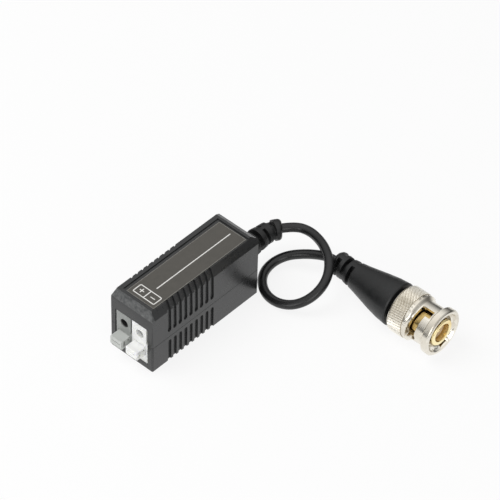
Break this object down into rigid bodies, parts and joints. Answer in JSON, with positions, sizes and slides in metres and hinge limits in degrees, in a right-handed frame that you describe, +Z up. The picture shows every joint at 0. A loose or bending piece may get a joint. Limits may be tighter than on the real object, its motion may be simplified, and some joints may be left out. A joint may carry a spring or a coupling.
{
  "type": "video balun",
  "caption": "Passive video balun: grooved plastic box with two push-lever wire terminals and a short looped cable with a bayonet coaxial plug.",
  "frame": {"origin": "middle of the box with its levers, on the surface it stands on", "axes": "+X along the box from the wire terminals to the cable end, +Y to the left seen from the terminals, +Z up"},
  "size_m": [0.0714, 0.0683, 0.0223],
  "materials": {
    "black_housing": "fine sparked texture",
    "label_film": "printed film",
    "grey_plastic": "moulded",
    "white_plastic": "moulded",
    "spring_steel": "bright",
    "tinned_contact": "tinned",
    "circuit_board": "solder mask",
    "ferrite": "sintered",
    "copper_wire": "enamelled",
    "green_wire": "enamelled",
    "ceramic": "glazed",
    "capacitor_coat": "dipped",
    "resistor_coat": "lacquered",
    "white_insulation": "extruded",
    "black_sleeve": "soft moulded",
    "cable_jacket": "smooth extruded",
    "nickel": "nickel plated",
    "gold": "gold plated",
    "dielectric": "moulded"
  },
  "bodies": {
    "body": {"upper_shell": "black_housing", "lower_shell": "black_housing", "label": "label_film", "terminal_body_grey": "grey_plastic", "terminal_body_white": "white_plastic", "clamp_spring_grey": "spring_steel", "clamp_spring_white": "spring_steel", "contact_grey": "tinned_contact", "contact_white": "tinned_contact", "circuit_board": "circuit_board", "toroid_core": "ferrite", "primary_winding": "copper_wire", "secondary_winding": "green_wire", "surge_arrestor": "ceramic", "filter_capacitor": "capacitor_coat", "resistors": "resistor_coat", "signal_wire": "white_insulation", "shield_wire": "tinned_contact", "strain_relief": "black_sleeve", "cable": "cable_jacket", "connector_boot": "black_sleeve", "crimp_ferrule": "nickel", "rear_collar": "black_sleeve", "bnc_body": "gold", "insulator": "dielectric", "centre_pin": "gold", "spring_washer": "spring_steel"},
    "grey_lever": {"push_lever_grey": "grey_plastic"},
    "white_lever": {"push_lever_white": "white_plastic"},
    "washer": {"thrust_washer": "nickel"},
    "nut": {"coupling_nut": "nickel"}
  },
  "joints": [
    {"name": "grey_push", "type": "slide", "parent": "body", "child": "grey_lever", "axis": [1, 0, 0], "range_m": [0, 0.0016], "stiffness_N_per_m": 2000, "deforming": ["clamp_spring_grey"]},
    {"name": "white_push", "type": "slide", "parent": "body", "child": "white_lever", "axis": [1, 0, 0], "range_m": [0, 0.0016], "stiffness_N_per_m": 2000, "deforming": ["clamp_spring_white"]},
    {"name": "nut_pull", "type": "slide", "parent": "body", "child": "washer", "axis": [0, -1, 0], "range_m": [0, 0.0009], "stiffness_N_per_m": 4000, "deforming": ["spring_washer"]},
    {"name": "nut_turn", "type": "hinge", "parent": "washer", "child": "nut", "pos_m": [0.0411, -0.052, 0.00726], "axis": [0, 1, 0], "continuous": true}
  ]
}
